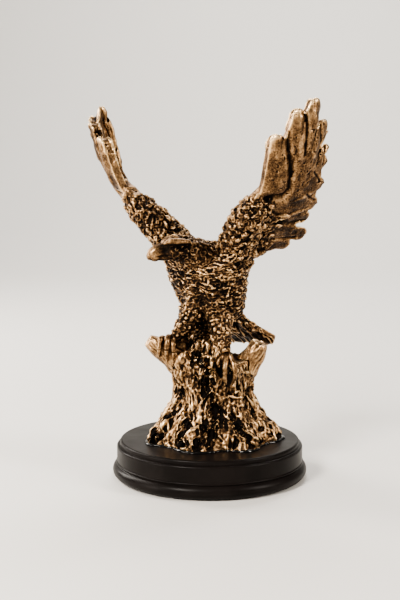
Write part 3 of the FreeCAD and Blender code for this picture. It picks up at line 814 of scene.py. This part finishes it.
def build_wing(name, side, seed):
    """A wing with a feathered arm and a blade of long feathers. side is 1 for the bird's left."""
    inwards, outwards = wing_frame(side)
    points, triangles = node_mesh(name)
    points = inwards(points)
    if side < 0:
        triangles = triangles[:, ::-1]
    base = (points, triangles)
    parts = [base]
    tree = tree_of(base)
    for tip, half_width in WING_FILLERS:
        parts.append(filler_feather(tree, tip, half_width))

    def arm_share(places):
        """1 on the feathered arm and 0 on the blade."""
        edge = 189.0 - 0.6 * np.maximum(places[:, 0] - 10.0, 0.0)
        low = smoothstep(edge - places[:, 2], -1.0, 3.0)
        return low * (1.0 - smoothstep(places[:, 0], 20.0, 27.0))

    def covert_share(places):
        """1 where short feathers cover the roots of the long ones, and 0 elsewhere."""
        low = smoothstep(COVERT_TOP - places[:, 2], -3.0, 3.0)
        return low * (1.0 - smoothstep(places[:, 0], 26.0, 33.0))

    def arm_flow(places):
        swing = smoothstep(places[:, 0], 0.0, 30.0)[:, None]
        return unit(np.array((0.15, -0.5, 0.8)) * (1.0 - swing) + np.array((0.9, -0.1, 0.35)) * swing)

    def on_arm(places, normals):
        return arm_share(places) > 0.35

    def on_coverts(places, normals):
        return (arm_share(places) < 0.5) & (covert_share(places) > 0.4)

    knobs = knob_template()
    parts.append(plumage(base, 3.3, (1.7, 2.9, 1.5), arm_flow, on_arm, seed, 0.6, chip_template(), 0.8))
    parts.append(plumage(base, 4.6, (1.9, 5.5, 1.1), arm_flow, on_coverts, seed + 10, 0.25, knobs, 0.7))
    if side < 0:
        parts.append(tube(RIGHT_WING_REAR, RIGHT_WING_REAR_RADII, sides=10))
    skin = Skin(parts, VOXEL_BIRD)
    skin.smooth(1)
    arm = arm_share(skin.points)
    coverts = covert_share(skin.points)
    blade = 1.0 - np.maximum(arm, 0.8 * coverts)
    waver = np.stack((noise(skin.points, 11.0, seed), noise(skin.points, 11.0, seed + 1)), axis=1)
    flat = skin.points[:, (0, 2)] + 1.0 * waver
    normal = skin.normals()[:, 1]
    facing = np.abs(normal)
    underside, upper_side = smoothstep(-normal, 0.1, 0.6), smoothstep(normal, 0.1, 0.6)
    fingers = 0.30 + 0.70 * smoothstep(skin.points[:, 2], 203.0, 222.0)
    height = long_feathers(flat, WING_FEATHERS, WING_SWELL)
    skin.push(blade * facing * fingers * (0.8 * height + 0.35))
    dent = np.zeros(len(flat))
    for path, width, depth in BLADE_FURROWS:
        dent += furrow(flat, path, width, depth)
    skin.push(-np.clip((1.0 - arm) * (underside + 0.5 * upper_side) * dent, -1.5, 2.6))
    if side < 0:
        skin.push(-3.4 * blob(skin.points, RIGHT_WING_HOLLOW, 2.6))
    streaks = noise(skin.points, (1.0, 1.0, 6.0), seed + 2)
    pits = smoothstep(noise(skin.points, 1.7, seed + 4), 0.45, 0.85)
    skin.push(blade * (0.07 * streaks + 0.16 * noise(skin.points, 2.6, seed + 5) - 0.4 * pits))
    skin.push((1.0 - blade) * (0.6 * crests(skin.points, 1.7, seed + 6) - 0.3))
    skin.push(0.35 * noise(skin.points, 4.0, seed + 3))
    if side < 0:
        # The tip is lower at its front edge and slants down towards the underside.
        front = 1.0 - smoothstep(skin.points[:, 0], 32.0, 39.0)
        skin.points[:, 2] -= 6.0 * (front * smoothstep(skin.points[:, 2], 228.0, 245.0))
        low_side = smoothstep(-skin.points[:, 1], 69.5, 73.0)
        skin.points[:, 2] -= 6.5 * (low_side * smoothstep(skin.points[:, 2], 234.0, 247.0))
    skin.points = outwards(skin.points)
    if side < 0:
        flip_faces(skin)
    rubbed_and_painted_light = blade * (0.13 + 0.10 * noise(skin.points, 14.0, seed + 7))
    skin.finish(name, FEATHER_BRONZE, rubbed_and_painted_light)


def filler_feather(tree, tip, half_width):
    """A feather from the middle of the blade to tip, in the middle of the blade's thickness."""
    root = np.array((30.0, tip[1] - 0.35 * (tip[1] - 165.0)))
    path, radii = [], []
    for share in np.linspace(0.0, 1.0, 9):
        across, height = root + (np.array(tip) - root) * share
        front = tree.ray_cast(Vector((across, -140.0, height)), Vector((0.0, 1.0, 0.0)))
        rear = tree.ray_cast(Vector((across, 40.0, height)), Vector((0.0, -1.0, 0.0)))
        if front[0] is not None and rear[0] is not None:
            depth = (front[0][1] + rear[0][1]) / 2.0
        elif len(path) > 1:
            depth = 2.0 * path[-1][1] - path[-2][1]
        else:
            continue
        path.append((across, depth, height))
        radii.append(half_width * math.sin(math.pi * (0.30 + 0.55 * share)))
    return tube(path, radii, flat=0.5, normal=(0.0, 1.0, 0.0))


def flip_faces(skin):
    """Turns the faces the right way round again after mirroring."""
    skin.mesh.flip_normals()
    skin.triangles = skin.triangles[:, ::-1]


def build_torso():
    """The body, with the breast muscles that run out to the wings and the tops of the thighs."""
    bird = rotation(2, BIRD_TURN)
    parts = [node_mesh("torso")]
    for side in (-1.0, 1.0):
        breast = np.array(BREAST_MUSCLE) * (side, 1.0, 1.0)
        parts.append(tube(breast @ bird.T, BREAST_RADII, sides=12))
    for path, radii in THIGHS:
        parts.append(tube(path, radii, sides=12))
    parts.append(ball(CROTCH, (9.0, 7.0, 8.5), 14, 9))
    base = merged(parts, 0.7)
    flow = heading((0.0, -0.2, -1.0))

    def everywhere(places, normals):
        return np.ones(len(places), bool)

    def low_down(places, normals):
        return places[:, 2] < 122.0

    scales = plumage(base, 3.4, (2.6, 0.6, 0.8), flow, everywhere, 21, 0.3, knob_template(), 0.9)
    knobs = plumage(base, 3.0, (0.9, 1.5, 0.7), flow, low_down, 22, 0.6, knob_template(), 1.0)
    skin = Skin([base, scales, knobs], VOXEL_BIRD)
    skin.smooth(2)
    places = crumpled(crumpled(skin.points, 9.0, 2.0, 24), 3.0, 0.5, 26)
    places[:, 2] -= 0.35 * np.abs(places[:, 0])  # the rows climb from the breast bone to both sides
    high = smoothstep(skin.points[:, 2], 116.0, 128.0)
    skin.push(high * (1.0 * crests(places, (4.6, 4.6, 1.6), 3) ** 1.7 - 0.4))
    skin.push(0.45 * crests(skin.points, (2.6, 2.6, 1.4), 7) ** 1.5 - 0.2)
    skin.push(0.5 * noise(skin.points, 6.0, 4) + 0.2 * noise(skin.points, 1.2, 5))
    # Painted light: the belly above the thighs is made brighter, as where light falls on it.
    belly_highlight = blob(skin.points[:, (0, 2)], (-4.0, 113.0), (8.0, 7.0))
    skin.finish("torso", FEATHER_BRONZE, 0.15 * belly_highlight)


def head_point(forward, side, up):
    """A place given in the head's own directions."""
    return HEAD_CENTRE + HEAD_FORWARD * forward + HEAD_SIDE * side + UP * up


def build_head():
    base = node_mesh("head")
    axes = np.array((HEAD_FORWARD, HEAD_SIDE, UP))
    parts = [base]
    flow = heading(-HEAD_FORWARD * 0.9 + np.array((0.25, 0.35, -0.35)))

    def on_neck(places, normals):
        forward = (places - HEAD_CENTRE) @ HEAD_FORWARD
        return forward < 0.5

    parts.append(plumage(base, 2.7, (1.0, 1.8, 0.9), flow, on_neck, 31, 0.5, knob_template()))
    for side in (-1.0, 1.0):
        brow = [head_point(forward, side * out, up) for forward, out, up in BROW]
        parts.append(tube(brow, (0.6, 1.6, 2.4, 2.4, 1.0)))
    parts.append(ball(head_point(0.5, 0.0, 2.0), (8.0, 6.2, 5.4), 16, 11, axes))
    upper = [head_point(*place) for place in UPPER_BEAK]
    parts.append(tube(upper, (4.8, 4.7, 4.5, 4.0, 2.4), sides=12))
    parts.append(ball(head_point(11.4, 0.0, -3.2), (4.6, 4.3, 4.9), 16, 11, axes))
    lower = [head_point(*place) for place in LOWER_BEAK]
    parts.append(tube(lower, (4.0, 3.6, 2.4), sides=10))
    skin = Skin(parts, VOXEL_HEAD)
    skin.smooth(4)
    local = (skin.points - HEAD_CENTRE) @ axes.T
    dent = np.zeros(len(local))
    for side in (-1.0, 1.0):
        for place, size, depth in (EYE_HOLLOW, CHEEK_HOLLOW):
            dent += depth * blob(local, np.array(place) * (1.0, side, 1.0), size)
    mouth = np.exp(-(((local[:, 2] + 4.6 + 0.10 * (local[:, 0] - 8.0)) / 0.7) ** 2))
    mouth *= smoothstep(local[:, 0], 2.0, 5.0) * (1.0 - smoothstep(local[:, 0], 11.0, 13.0))
    skin.push(-dent - 0.5 * mouth)
    rough = 1.0 - smoothstep(local[:, 0], 1.0, 7.0)
    brow_share = smoothstep(local[:, 2], 2.4, 3.6) * smoothstep(local[:, 0], -10.0, -5.0)
    brow_share *= smoothstep(np.abs(local[:, 1]), 3.6, 5.4) * (1.0 - smoothstep(local[:, 0], 6.5, 8.5))
    skin.push(rough * (1.0 - brow_share) * (0.7 * crests(skin.points, 1.9, 6) - 0.4))
    skin.push(0.2 * noise(skin.points, 2.6, 7))
    # Painted light: the beak's tip and the brow are made brighter, partly as worn gold and partly as a
    # painted highlight. Painted shade darkens the face below the brow.
    tip = smoothstep(local[:, 0], 9.5, 12.0)
    face = smoothstep(local[:, 0], 0.0, 3.0) * (1.0 - smoothstep(local[:, 0], 8.0, 11.0))
    face *= 1.0 - smoothstep(local[:, 2], 1.5, 3.5)
    rubbed_and_painted_light = 0.13 * tip + 0.10 * brow_share - 0.14 * face
    skin.finish("head", FEATHER_BRONZE, rubbed_and_painted_light)


def build_tail():
    """The fan, worked on lying flat: across is x, backwards is y."""
    bird = rotation(2, BIRD_TURN)
    drop = rotation(0, -TAIL_DROP)
    root = np.array(TAIL_ROOT)
    points, triangles = node_mesh("tail")
    base = ((points @ bird - root) @ drop, triangles)

    def flow(places):
        return unit(np.stack((places[:, 0] * 0.03, np.ones(len(places)), np.zeros(len(places))), axis=1))

    def near_root(places, normals):
        return places[:, 1] < 20.0

    skin = Skin([base, plumage(base, 3.4, (2.2, 7.0, 0.8), flow, near_root, 41)], VOXEL_BIRD)
    skin.smooth(1)
    feathers = []
    for i in range(TAIL_FEATHER_COUNT):
        share = 2.0 * i / (TAIL_FEATHER_COUNT - 1) - 1.0
        feathers.append(((share * 5.0, 6.0), (share * 23.5, 43.0 - 2.5 * abs(share)), 4.8))
    plane = skin.points[:, (0, 1)] + 0.6 * noise(skin.points, 8.0, 42)[:, None]
    share = smoothstep(plane[:, 1], 15.0, 22.0)
    height = long_feathers(plane, feathers, [1.0] * TAIL_FEATHER_COUNT)
    facing = np.abs(skin.normals()[:, 2])
    skin.push(share * facing * (1.1 * height + 0.3))
    skin.push(0.28 * noise(skin.points, (1.1, 4.0, 1.1), 8) + 0.35 * noise(skin.points, 3.5, 9))
    underside = smoothstep(-skin.normals()[:, 2], 0.2, 0.7)
    skin.push(underside * (1.3 * crests(skin.points, (2.6, 12.0, 6.0), 43) ** 2 - 0.5))
    skin.points = (skin.points @ drop.T + root) @ bird.T
    skin.finish("tail", FEATHER_BRONZE)


def build_leg(name, seed):
    base = merged([node_mesh(name)], 0.4, 2)
    ankle = base[0][:, 2].min() + 3.0
    flow = heading((0.0, -0.2, -1.0))

    def above_ankle(places, normals):
        return places[:, 2] > ankle

    feathers = plumage(base, 2.8, (1.1, 1.7, 1.1), flow, above_ankle, seed, 0.5, knob_template())
    skin = Skin([base, feathers], VOXEL_BIRD)
    skin.smooth(1)
    skin.push(0.5 * crests(skin.points, (2.0, 2.0, 1.6), seed) - 0.25)
    skin.push(0.4 * noise(skin.points, 4.0, seed + 1))
    skin.finish(name, FEATHER_BRONZE)


def build_foot(name, heel, toes, seed):
    """A foot with slim toes that end in long claws."""
    parts = [ball(heel, (5.0, 5.4, 4.2), 14, 9)]
    for path, radii in toes:
        line = smooth_path(path)
        shares = np.linspace(0.0, 1.0, len(line))
        given = np.linspace(0.0, 1.0, len(radii))
        parts.append(tube(line, np.interp(shares, given, radii)))
    skin = Skin(parts, VOXEL_FOOT)
    skin.smooth(2)
    skin.push(0.3 * noise(skin.points, 2.4, seed + 1) + 0.1 * noise(skin.points, 0.9, seed + 2))
    skin.finish(name, FEATHER_BRONZE, 0.12)


def smooth_path(path, steps=25):
    """A rounded line through the path's points."""
    path = np.asarray(path, float)
    shares = np.linspace(0.0, 1.0, len(path))
    wanted = np.linspace(0.0, 1.0, steps)
    line = np.stack([np.interp(wanted, shares, path[:, i]) for i in range(3)], axis=1)
    for _ in range(6):
        line[1:-1] = 0.5 * line[1:-1] + 0.25 * (line[:-2] + line[2:])
    return line


# ---- stump ----
def tree_of(mesh):
    """A mesh made ready for rays."""
    points, triangles = mesh
    return BVHTree.FromPolygons(points.tolist(), triangles.tolist())


def stump_radius(tree, turn, height):
    """Where the stump's surface is, looking in at its axis from outside."""
    out = Vector((math.cos(turn), math.sin(turn), 0.0))
    start = Vector((*STUMP_AXIS, height)) + out * BEYOND_STUMP
    hit = tree.ray_cast(start, -out)
    return BEYOND_STUMP - hit[3] if hit[0] is not None else None


def round_stump(reach, turn, height):
    """A place at a distance from the stump's axis."""
    return STUMP_AXIS[0] + reach * math.cos(turn), STUMP_AXIS[1] + reach * math.sin(turn), height


def bark_ridge(tree, random, turn, low, high, radius):
    """A ridge of bark that wanders up the stump."""
    steps = max(5, int((high - low) / 2.5))
    path, radii = [], []
    drift = random.normal(0.0, 0.010)
    for i in range(steps):
        share = i / (steps - 1)
        height = low + (high - low) * share
        angle = turn + drift * i + 0.05 * math.sin(share * 6.0 + turn * 9.0)
        reach = stump_radius(tree, angle, height)
        if reach is None:
            continue
        reach += radius * random.uniform(-0.1, 0.5)
        path.append(round_stump(reach, angle, height))
        radii.append(radius * (0.35 + 0.65 * math.sin(math.pi * (0.08 + 0.84 * share))))
    if len(path) < 4:
        return None
    uneven = np.random.default_rng(steps).uniform(0.8, 1.2, len(radii))
    return tube(path, np.array(radii) * uneven, sides=6)


def root_tube(tree, random, turn):
    """A root that runs down the stump and out along the plinth."""
    path, radii = [], []
    for i, (height, proud, radius) in enumerate(ROOT_STATIONS):
        angle = turn + 0.12 * math.sin(i * 0.9 + turn * 5.0)
        reach = stump_radius(tree, angle, height) + proud
        path.append(round_stump(reach, angle, height))
        radii.append(radius * random.uniform(0.8, 1.15))
    return tube(path, radii, sides=8)


def build_stump():
    base = node_mesh("tree_stump")
    tree = tree_of(base)
    random = np.random.default_rng(51)
    parts = [base]
    for place, radii in ROOT_MASSES:
        parts.append(ball(place, radii, 16, 11))
    for i in range(ROOTS):
        parts.append(root_tube(tree, random, 2.0 * math.pi * (i + random.uniform(-0.3, 0.3)) / ROOTS))
    for i in range(BARK_RIDGES):
        turn = 2.0 * math.pi * i * GOLDEN_TURN
        low = random.uniform(26.0, 74.0)
        high = min(low + random.uniform(6.0, 20.0), 80.0)
        ridge = bark_ridge(tree, random, turn, low, high, random.uniform(0.7, 1.7))
        if ridge is not None:
            parts.append(ridge)

    def outer(places, normals):
        """The bark, but not the hollow inside, the cut top, the toes' place or the very foot."""
        height = places[:, 2]
        reach = np.hypot(places[:, 0] - STUMP_AXIS[0], places[:, 1] - STUMP_AXIS[1])
        beside_toes = np.linalg.norm((places - (11.0, -27.0, 76.0)) / (7.0, 6.0, 9.0), axis=1) < 1.0
        upright = (height < 74.0) | (np.abs(normals[:, 2]) < 0.6)
        under_snag = (height > 73.0) & (places[:, 0] > 12.0)
        bark = ((reach > STUMP_HOLLOW) | (height > 66.0)) & (height >= 31.0)
        return bark & upright & ~beside_toes & ~under_snag

    knobs = knob_template()
    downwards = heading((0.0, 0.0, -1.0))
    aslant = heading((1.0, 0.4, -0.8))
    parts.append(plumage(base, 3.4, (1.05, 6.5, 1.2), downwards, outer, 52, 0.22, knobs, 0.6))
    parts.append(plumage(base, 9.0, (1.3, 5.5, 1.8), aslant, outer, 59, 0.7, knobs, 0.9))
    for path, radius in TWIGS:
        line = smooth_path(path)
        parts.append(tube(line, np.full(len(line), radius), sides=8))
    knot_axes = (unit(KNOT_AXES[0]), *KNOT_AXES[1:])
    parts.append(ball(*KNOT, 14, 9, knot_axes))
    skin = Skin(parts, VOXEL_STUMP)
    skin.smooth(1)
    outside = smoothstep(skin.points[:, 2], 25.2, 27.0)
    out = np.hypot(skin.points[:, 0] - STUMP_AXIS[0], skin.points[:, 1] - STUMP_AXIS[1])
    past_hollow = smoothstep(out, STUMP_HOLLOW - 1.0, STUMP_HOLLOW + 1.0)
    outside *= np.where(skin.points[:, 2] < 60.0, past_hollow, 1.0)
    dent = np.zeros(len(skin.points))
    for place, size, depth in HOLLOWS:
        dent += depth * blob(skin.points, place, size)
    wander = 2.5 * noise(skin.points, 8.0, 53)
    turn = np.arctan2(skin.points[:, 1] - STUMP_AXIS[1], skin.points[:, 0] - STUMP_AXIS[0])
    gaps = smoothstep(np.sin(turn * ROOT_LOBES + 0.6 * wander), 0.5, 1.0)
    gaps *= 1.0 - smoothstep(skin.points[:, 2], 38.0, 52.0)
    skin.push(-dent - outside * 1.8 * gaps)
    around = np.stack((turn * 30.0 + wander, wander, skin.points[:, 2] * 0.28), axis=1)
    furrows = crests(around, 2.4, 54) + 0.5 * crests(around, 1.2, 55)
    pits = smoothstep(noise(skin.points, 5.0, 58), 0.30, 0.75)
    lumps = noise(skin.points, 6.5, 56)
    skin.push(outside * (0.65 * (furrows - 0.8) + 1.0 * lumps - 1.1 * pits - 0.3))
    skin.push(outside * 0.2 * noise(skin.points, 1.3, 57))
    skin.points[:, 2] = np.maximum(skin.points[:, 2], base[0][:, 2].min())
    skin.finish("tree_stump", BARK_BRONZE)


def build_branch(name, seed):
    """A cut branch stub with furrows along it."""
    base = node_mesh(name)
    low, high = base[0].min(0), base[0].max(0)
    side = 1.0 if high[0] > 0.0 and abs(high[0]) > abs(low[0]) else -1.0
    along = unit(np.array((side * (high[0] - low[0]), 0.0, high[2] - low[2])))
    skin = Skin([base], VOXEL_BIRD)
    skin.smooth(1)
    offset = skin.points - (low + high) / 2.0
    t = offset @ along
    radial = offset - t[:, None] * along
    turn = np.arctan2(radial[:, 1], radial @ np.cross(along, (0.0, 1.0, 0.0)))
    around = np.stack((np.cos(turn) * 7.0, np.sin(turn) * 7.0, t * 0.25), axis=1)
    furrows = noise(around, 1.6, seed) + 0.5 * noise(around, 0.8, seed + 1)
    skin.push(0.5 * furrows + 0.6 * noise(skin.points, 5.0, seed + 2) + 0.3)
    skin.finish(name, BARK_BRONZE)


def build_bedding():
    """The thin black bead round the stump's foot, thicker where more was squeezed out."""
    tree = tree_of(node_mesh("tree_stump"))
    base = float(node_mesh("bedding_bead")[0][:, 2].min())
    random = np.random.default_rng(61)
    steps = 220
    path, radii = [], []
    for i in range(steps + 4):
        turn = 2.0 * math.pi * i / steps
        reach = stump_radius(tree, turn, base + 0.4) + 1.0
        reach += 0.5 * math.sin(turn * 11.0) + 0.4 * math.sin(turn * 23.0 + 1.0)
        path.append(round_stump(reach, turn, base + 0.3))
        radii.append(1.5 + 0.35 * math.sin(turn * 7.0 + 2.0) + 0.25 * math.sin(turn * 17.0))
    parts = [tube(path, radii, flat=0.7)]
    parts.append(ball((*BEDDING_LUMP, base + 0.5), (4.2, 2.6, 1.5), 10, 7))
    for _ in range(BEDDING_DROPS):
        place = np.array(path[random.integers(steps)]) + random.normal(0.0, 0.5, 3) * (1.0, 1.0, 0.0)
        size = random.uniform(1.2, 2.3)
        parts.append(ball(place, (size, size, size * 0.6), 8, 6))
    skin = Skin(parts, VOXEL_STUMP)
    skin.smooth(2)
    skin.points[:, 2] = np.maximum(skin.points[:, 2], base)
    skin.finish("bedding_bead", COMPOUND_BLACK)


# ---- pieces that keep their CAD shape ----
def finish_plain_nodes():
    kept = {
        "felt_pad": FELT,
        "plinth": PLINTH_BLACK,
        "plinth_screws": STEEL,
        "plinth_washers": STEEL,
    }
    for place in ("wing_dowels", "neck_dowel", "tail_dowel", "leg_dowels", "foot_dowels", "branch_dowels"):
        kept[place] = DOWEL_METAL
    for name, material in kept.items():
        data = NODES[name].data
        data.materials.clear()
        data.materials.append(material)


# ---- room ----
def build_room():
    """A pale floor that curves up into a wall behind."""
    floor_material, _, _, surface = shader("pale floor")
    surface.inputs["Base Color"].default_value = (0.72, 0.70, 0.665, 1.0)
    surface.inputs["Roughness"].default_value = 0.7
    steps = 24
    profile = [(-3.0, 0.0), (1.2, 0.0)]
    for i in range(steps + 1):
        angle = math.pi / 2.0 * i / steps
        profile.append((1.2 + 0.8 * math.sin(angle), 0.8 - 0.8 * math.cos(angle)))
    profile.append((2.0, 4.0))
    points = [(x, y, z) for y, z in profile for x in (-4.0, 4.0)]
    faces = [(2 * i, 2 * i + 1, 2 * i + 3, 2 * i + 2) for i in range(len(profile) - 1)]
    data = bpy.data.meshes.new("sweep")
    data.from_pydata(points, [], faces)
    data.materials.append(floor_material)
    data.polygons.foreach_set("use_smooth", [True] * len(data.polygons))
    sweep = add_object("sweep", data)


def area_light(name, place, target, size, power, colour):
    data = bpy.data.lights.new(name, "AREA")
    data.shape = "RECTANGLE"
    data.size, data.size_y = size
    data.energy = power
    data.color = colour
    lamp = add_object(name, data)
    lamp.location = place
    aim = Vector(target) - Vector(place)
    lamp.rotation_euler = aim.to_track_quat("-Z", "Y").to_euler()


def build_lights():
    middle = (0.0, 0.0, 0.13)
    area_light("key", (-0.55, -0.75, 0.75), middle, (0.28, 0.28), 18.0, (1.0, 0.94, 0.86))
    area_light("left_low", (-0.85, -0.35, 0.16), middle, (0.25, 0.45), 4.5, (1.0, 0.94, 0.87))
    area_light("right", (0.75, -0.35, 0.50), middle, (0.20, 0.50), 6.5, (1.0, 0.92, 0.84))
    area_light("rim_left", (-0.75, 0.50, 0.55), middle, (0.30, 0.60), 11.0, (1.0, 0.94, 0.87))
    area_light("back", (0.2, 1.0, 1.3), (0.0, 1.2, 0.3), (1.2, 0.6), 26.0, (1.0, 0.98, 0.95))
    world = bpy.data.worlds.new("soft room")
    world.use_nodes = True
    background = world.node_tree.nodes["Background"]
    background.inputs["Color"].default_value = (1.0, 0.94, 0.87, 1.0)
    background.inputs["Strength"].default_value = 0.20
    bpy.context.scene.world = world
    bpy.context.scene.view_settings.look = "AgX - Medium High Contrast"


def build_camera():
    data = bpy.data.cameras.new("camera")
    data.lens = CAMERA_LENS
    data.sensor_width = 36.0
    data.clip_start = 0.05
    camera = add_object("camera", data)
    camera.location = CAMERA_PLACE
    camera.rotation_euler = (math.radians(90.0 - CAMERA_PITCH), 0.0, 0.0)
    bpy.context.scene.camera = camera


# ---- everything ----
build_torso()
build_head()
build_wing("left_wing", 1.0, 71)
build_wing("right_wing", -1.0, 72)
build_tail()
build_leg("left_leg", 81)
build_leg("right_leg", 82)
build_foot("left_foot", LEFT_HEEL, LEFT_TOES, 91)
build_foot("right_foot", RIGHT_HEEL, RIGHT_TOES, 92)
build_stump()
build_branch("perch_branch", 95)
build_branch("snag_branch", 97)
build_bedding()
finish_plain_nodes()
build_room()
build_lights()
build_camera()
